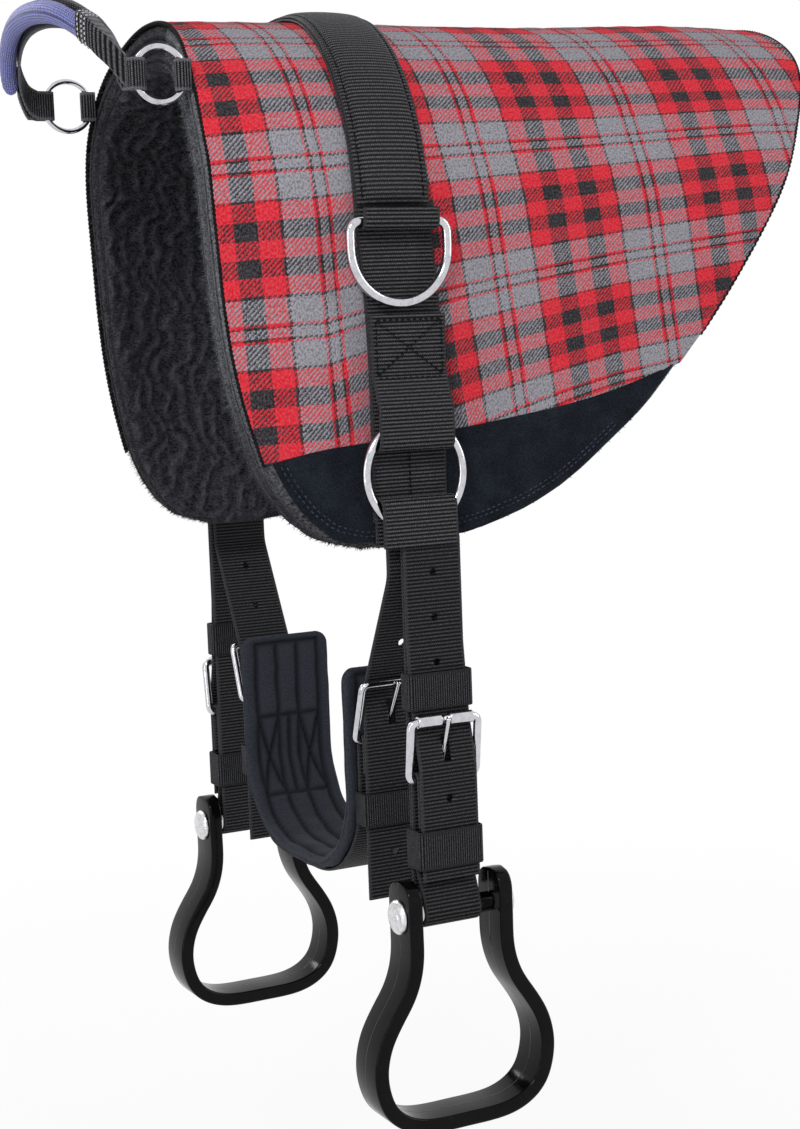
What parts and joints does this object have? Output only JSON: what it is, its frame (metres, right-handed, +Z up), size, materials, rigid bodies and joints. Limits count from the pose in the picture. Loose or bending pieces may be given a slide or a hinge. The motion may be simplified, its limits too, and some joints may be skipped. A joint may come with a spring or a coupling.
{
  "type": "bareback pad",
  "caption": "Padded seat blanket for riding without a saddle, with rigging straps, rings, hanging stirrups, a buckled girth and a hand grip.",
  "frame": {"origin": "underside of the pad at the ridge, where it lies on the horse's spine, level with the rigging", "axes": "+Z up, +Y along the spine towards the tail, +X to the side that the picture shows nearest"},
  "size_m": [0.3106, 0.5065, 0.6711],
  "materials": {
    "fleece": "curled black fleece",
    "felt": "grey felt",
    "plaid_wool": "woven plaid wool",
    "suede": "dark suede",
    "webbing": "ribbed black webbing",
    "chrome": "polished",
    "gloss_plastic": "gloss black",
    "quilted_cloth": "quilted dark cloth",
    "braided_cord": "braided blue cord"
  },
  "bodies": {
    "pad": {"fleece_lining": "fleece", "felt_core": "felt", "wool_cover": "plaid_wool", "suede_left": "suede", "suede_right": "suede", "rigging_strap": "webbing", "strap_cover": "webbing", "dee_loop_left": "webbing", "dee_loop_right": "webbing", "ring_strap_left": "webbing", "ring_strap_right": "webbing", "handle_tab_left": "webbing", "handle_tab_right": "webbing"},
    "dee_left": {"dee_ring_left": "chrome"},
    "dee_right": {"dee_ring_right": "chrome"},
    "ring_left": {"rigging_ring_left": "chrome"},
    "ring_right": {"rigging_ring_right": "chrome"},
    "leather_left": {"ring_band_left": "webbing", "stirrup_leather_left": "webbing", "leather_buckle_left": "chrome"},
    "leather_right": {"ring_band_right": "webbing", "stirrup_leather_right": "webbing", "leather_buckle_right": "chrome"},
    "prong_left": {"leather_prong_left": "chrome"},
    "prong_right": {"leather_prong_right": "chrome"},
    "upper_loop_left": {"upper_keeper_left": "webbing"},
    "upper_loop_right": {"upper_keeper_right": "webbing"},
    "lower_loop_left": {"lower_keeper_left": "webbing"},
    "lower_loop_right": {"lower_keeper_right": "webbing"},
    "stirrup_left_body": {"stirrup_left": "gloss_plastic", "stirrup_bolt_left": "chrome", "stirrup_nut_left": "chrome"},
    "stirrup_right_body": {"stirrup_right": "gloss_plastic", "stirrup_bolt_right": "chrome", "stirrup_nut_right": "chrome"},
    "roller_left": {"stirrup_roller_left": "chrome"},
    "roller_right": {"stirrup_roller_right": "chrome"},
    "girth": {"billet_left": "webbing", "billet_right": "webbing", "girth_pad": "quilted_cloth", "girth_webbing": "webbing", "girth_buckle_left": "chrome", "girth_buckle_right": "chrome", "girth_keeper_left": "webbing", "girth_keeper_right": "webbing"},
    "girth_tongue_left": {"girth_prong_left": "chrome"},
    "girth_tongue_right": {"girth_prong_right": "chrome"},
    "grip_ring_left": {"handle_ring_left": "chrome"},
    "grip_ring_right": {"handle_ring_right": "chrome"},
    "grip": {"handle_webbing": "webbing", "handle_grip": "braided_cord"}
  },
  "joints": [
    {"name": "dee_left_lift", "type": "hinge", "parent": "pad", "child": "dee_left", "pos_m": [0.1334, 0.0095, -0.1], "axis": [0, -1, 0], "range_deg": [0, 150]},
    {"name": "dee_right_lift", "type": "hinge", "parent": "pad", "child": "dee_right", "pos_m": [-0.1334, 0.0095, -0.1], "axis": [0, 1, 0], "range_deg": [0, 150]},
    {"name": "ring_left_spin", "type": "hinge", "parent": "pad", "child": "ring_left", "pos_m": [0.13405, 0.014, -0.245], "axis": [1, 0, 0], "continuous": true},
    {"name": "ring_right_spin", "type": "hinge", "parent": "pad", "child": "ring_right", "pos_m": [-0.13405, 0.014, -0.245], "axis": [1, 0, 0], "continuous": true},
    {"name": "leather_left_swing", "type": "hinge", "parent": "pad", "child": "leather_left", "pos_m": [0.13405, 0.014, -0.245], "axis": [1, 0, 0], "range_deg": [-35, 35]},
    {"name": "leather_right_swing", "type": "hinge", "parent": "pad", "child": "leather_right", "pos_m": [-0.13405, 0.014, -0.245], "axis": [1, 0, 0], "range_deg": [-35, 35]},
    {"name": "prong_left_lift", "type": "hinge", "parent": "leather_left", "child": "prong_left", "pos_m": [0.141, 0.0215, -0.424], "axis": [0, 1, 0], "range_deg": [0, 8]},
    {"name": "prong_right_lift", "type": "hinge", "parent": "leather_right", "child": "prong_right", "pos_m": [-0.141, 0.0115, -0.424], "axis": [0, -1, 0], "range_deg": [0, 8]},
    {"name": "upper_loop_left_slide", "type": "slide", "parent": "leather_left", "child": "upper_loop_left", "axis": [0, 0, 1], "range_m": [-0.001, 0.04]},
    {"name": "upper_loop_right_slide", "type": "slide", "parent": "leather_right", "child": "upper_loop_right", "axis": [0, 0, 1], "range_m": [-0.001, 0.04]},
    {"name": "lower_loop_left_slide", "type": "slide", "parent": "leather_left", "child": "lower_loop_left", "axis": [0, 0, 1], "range_m": [-0.008, 0.018]},
    {"name": "lower_loop_right_slide", "type": "slide", "parent": "leather_right", "child": "lower_loop_right", "axis": [0, 0, 1], "range_m": [-0.008, 0.018]},
    {"name": "stirrup_left_swing", "type": "hinge", "parent": "leather_left", "child": "stirrup_left_body", "pos_m": [0.1413, 0.024, -0.5035], "axis": [0, 1, 0], "range_deg": [-45, 45]},
    {"name": "stirrup_right_swing", "type": "hinge", "parent": "leather_right", "child": "stirrup_right_body", "pos_m": [-0.1413, 0.015, -0.5035], "axis": [0, 1, 0], "range_deg": [-45, 45]},
    {"name": "roller_left_spin", "type": "hinge", "parent": "stirrup_left_body", "child": "roller_left", "pos_m": [0.1413, 0.024, -0.5035], "axis": [0, 1, 0], "continuous": true},
    {"name": "roller_right_spin", "type": "hinge", "parent": "stirrup_right_body", "child": "roller_right", "pos_m": [-0.1413, 0.015, -0.5035], "axis": [0, 1, 0], "continuous": true},
    {"name": "girth_swing", "type": "hinge", "parent": "pad", "child": "girth", "pos_m": [0, 0.014, -0.245], "axis": [1, 0, 0], "range_deg": [-20, 20]},
    {"name": "girth_tongue_left_lift", "type": "hinge", "parent": "girth", "child": "girth_tongue_left", "pos_m": [0.0866, 0.0135, -0.408], "axis": [0, 1, 0], "range_deg": [0, 8]},
    {"name": "girth_tongue_right_lift", "type": "hinge", "parent": "girth", "child": "girth_tongue_right", "pos_m": [-0.0866, 0.0135, -0.408], "axis": [0, -1, 0], "range_deg": [0, 8]},
    {"name": "grip_ring_left_spin", "type": "hinge", "parent": "pad", "child": "grip_ring_left", "pos_m": [0.082, -0.1112, -0.0145], "axis": [1, 0, 0], "continuous": true},
    {"name": "grip_ring_right_spin", "type": "hinge", "parent": "pad", "child": "grip_ring_right", "pos_m": [-0.082, -0.1112, -0.0145], "axis": [1, 0, 0], "continuous": true},
    {"name": "grip_swing", "type": "hinge", "parent": "pad", "child": "grip", "pos_m": [0, -0.1112, -0.0145], "axis": [1, 0, 0], "range_deg": [-80, 80]}
  ]
}
